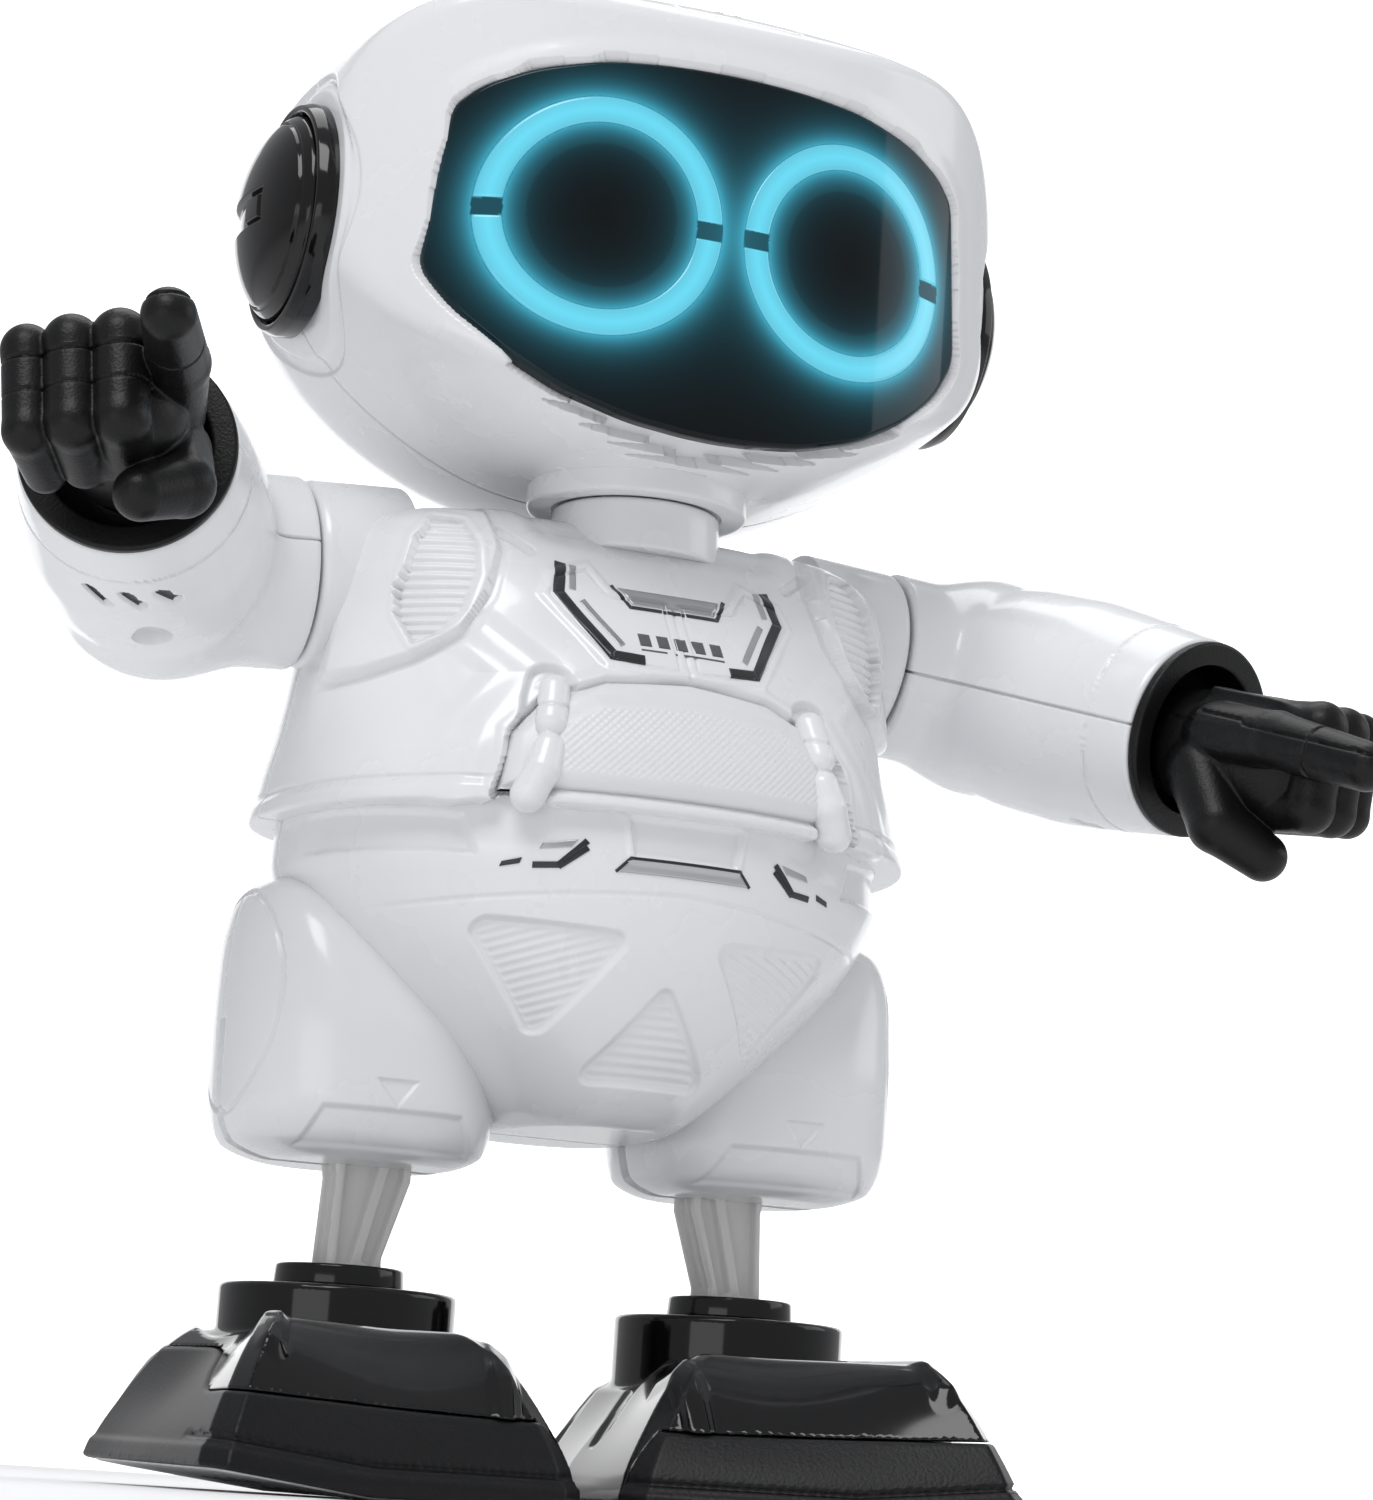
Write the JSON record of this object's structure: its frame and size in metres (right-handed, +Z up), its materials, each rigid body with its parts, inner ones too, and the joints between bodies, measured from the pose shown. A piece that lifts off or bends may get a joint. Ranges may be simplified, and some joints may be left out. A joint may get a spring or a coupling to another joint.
{
  "type": "walking humanoid toy robot",
  "caption": "Standing toy robot: big rounded head with a dark visor and ring eyes, round ear discs, jointed arms with bent elbows, egg-shaped body, swaying legs and wide shoes.",
  "frame": {"origin": "middle of the whole robot's footprint box, on the floor", "axes": "+Z up, robot faces -Y, the robot's left side is +X"},
  "size_m": [0.204, 0.1158, 0.2141],
  "materials": {
    "shell": "glossy white ABS",
    "visor": "glossy black, smoked",
    "light": "translucent light guide, lit cyan",
    "black_gloss": "glossy black",
    "black_matte": "fine grained black",
    "offwhite": "off-white",
    "pocket": "fine grid texture",
    "inner": "plain dark inside part",
    "steel": "zinc plated screw or pin",
    "board": "green circuit board",
    "metal": "motor can",
    "cell": "plain cell",
    "sole": "off-white sole",
    "gearp": "acetal gear"
  },
  "bodies": {
    "torso": {"neck_post": "shell", "vest_front": "shell", "vest_rear": "shell", "pocket_panel": "pocket", "strap_toggles": "shell", "left_thigh_front": "shell", "right_thigh_front": "shell", "left_thigh_rear": "shell", "right_thigh_rear": "shell", "hip_pins": "steel", "belly_front_shell": "shell", "belly_rear_shell": "shell", "battery_door": "shell", "battery_door_screw": "steel", "shoulder_hubs": "shell", "shoulder_pins": "steel", "main_board": "board", "speaker": "metal", "battery_cells": "cell", "battery_holder": "inner", "drive_motor": "metal", "gearbox_frame": "inner", "body_screws": "steel"},
    "head": {"head_front_shell": "shell", "head_rear_shell": "shell", "head_screws": "steel", "visor": "visor", "left_eye_light_guide": "light", "right_eye_light_guide": "light", "eye_lamp_board": "board", "left_ear_bezel": "black_matte", "right_ear_bezel": "black_matte", "left_ear_cap": "black_gloss", "right_ear_cap": "black_gloss", "neck_collar": "shell"},
    "head_button": {"head_button": "shell"},
    "left_arm": {"left_arm_upper_shell": "shell", "left_arm_lower_shell": "shell", "left_cuff_ring": "black_matte"},
    "right_arm": {"right_arm_upper_shell": "shell", "right_arm_lower_shell": "shell", "right_cuff_ring": "black_matte"},
    "left_hand": {"left_hand": "black_matte"},
    "right_hand": {"right_hand": "black_matte"},
    "power_switch": {"power_switch": "black_matte"},
    "crank_gear": {"crank_gear": "gearp"},
    "motor_pinion": {"motor_pinion": "gearp"},
    "left_leg": {"left_leg_strut": "offwhite"},
    "right_leg": {"right_leg_strut": "offwhite"},
    "left_ankle": {"left_ankle_block": "black_gloss", "left_ankle_pin": "steel"},
    "right_ankle": {"right_ankle_block": "black_gloss", "right_ankle_pin": "steel"},
    "left_foot": {"left_shoe_top": "black_gloss", "left_shoe_bumper": "black_matte", "left_sole_plate": "sole"},
    "right_foot": {"right_shoe_top": "black_gloss", "right_shoe_bumper": "black_matte", "right_sole_plate": "sole"}
  },
  "joints": [
    {"name": "head_yaw", "type": "hinge", "parent": "torso", "child": "head", "pos_m": [0.00082, 0.00788, 0.14], "axis": [0, 0, 1], "range_deg": [-35, 35]},
    {"name": "head_button_press", "type": "slide", "parent": "head", "child": "head_button", "axis": [0, 0, -1], "range_m": [0, 0.0008], "stiffness_N_per_m": 300, "springref_m": -0.0005},
    {"name": "left_shoulder", "type": "hinge", "parent": "torso", "child": "left_arm", "pos_m": [0.03812, 0.02238, 0.1293], "axis": [-0.9976, 0, 0.0698], "range_deg": [-72, 95]},
    {"name": "right_shoulder", "type": "hinge", "parent": "torso", "child": "right_arm", "pos_m": [-0.03648, 0.02238, 0.1293], "axis": [-0.9976, 0, -0.0698], "range_deg": [-97, 70]},
    {"name": "left_wrist", "type": "hinge", "parent": "left_arm", "child": "left_hand", "pos_m": [0.08123, -0.01516, 0.11592], "axis": [0.3565, -0.8939, -0.2718], "range_deg": [-60, 60]},
    {"name": "right_wrist", "type": "hinge", "parent": "right_arm", "child": "right_hand", "pos_m": [-0.08074, -0.01605, 0.13251], "axis": [-0.3841, -0.915, 0.1233], "range_deg": [-60, 60]},
    {"name": "power_switch_slide", "type": "slide", "parent": "torso", "child": "power_switch", "axis": [1, 0, 0], "range_m": [0, 0.004]},
    {"name": "crank_spin", "type": "hinge", "parent": "torso", "child": "crank_gear", "pos_m": [0.00082, -0.00112, 0.0715], "axis": [0, 1, 0], "continuous": true},
    {"name": "pinion_spin", "type": "hinge", "parent": "torso", "child": "motor_pinion", "pos_m": [0.00082, -0.00112, 0.09082], "axis": [0, 1, 0], "continuous": true},
    {"name": "left_sway", "type": "hinge", "parent": "torso", "child": "left_leg", "pos_m": [0.03092, 0.02548, 0.066], "axis": [0, 1, 0], "range_deg": [-6, 6]},
    {"name": "right_sway", "type": "hinge", "parent": "torso", "child": "right_leg", "pos_m": [-0.02928, 0.02548, 0.066], "axis": [0, 1, 0], "range_deg": [-6, 6]},
    {"name": "left_ankle_tilt", "type": "hinge", "parent": "left_leg", "child": "left_ankle", "pos_m": [0.03092, 0.02548, 0.023], "axis": [0, 1, 0], "range_deg": [-6, 6]},
    {"name": "right_ankle_tilt", "type": "hinge", "parent": "right_leg", "child": "right_ankle", "pos_m": [-0.02928, 0.02548, 0.023], "axis": [0, 1, 0], "range_deg": [-6, 6]},
    {"name": "left_foot_turn", "type": "hinge", "parent": "left_ankle", "child": "left_foot", "pos_m": [0.03092, 0.02548, 0.02], "axis": [0, 0, 1], "range_deg": [-1.5, 28]},
    {"name": "right_foot_turn", "type": "hinge", "parent": "right_ankle", "child": "right_foot", "pos_m": [-0.02928, 0.02548, 0.02], "axis": [0, 0, 1], "range_deg": [-18, 10]}
  ],
  "couplings": [
    {"joint": "pinion_spin", "follows": "crank_spin", "ratio": -3},
    {"joint": "right_sway", "follows": "left_sway", "ratio": 1},
    {"joint": "left_ankle_tilt", "follows": "left_sway", "ratio": -1},
    {"joint": "right_ankle_tilt", "follows": "left_sway", "ratio": -1}
  ]
}
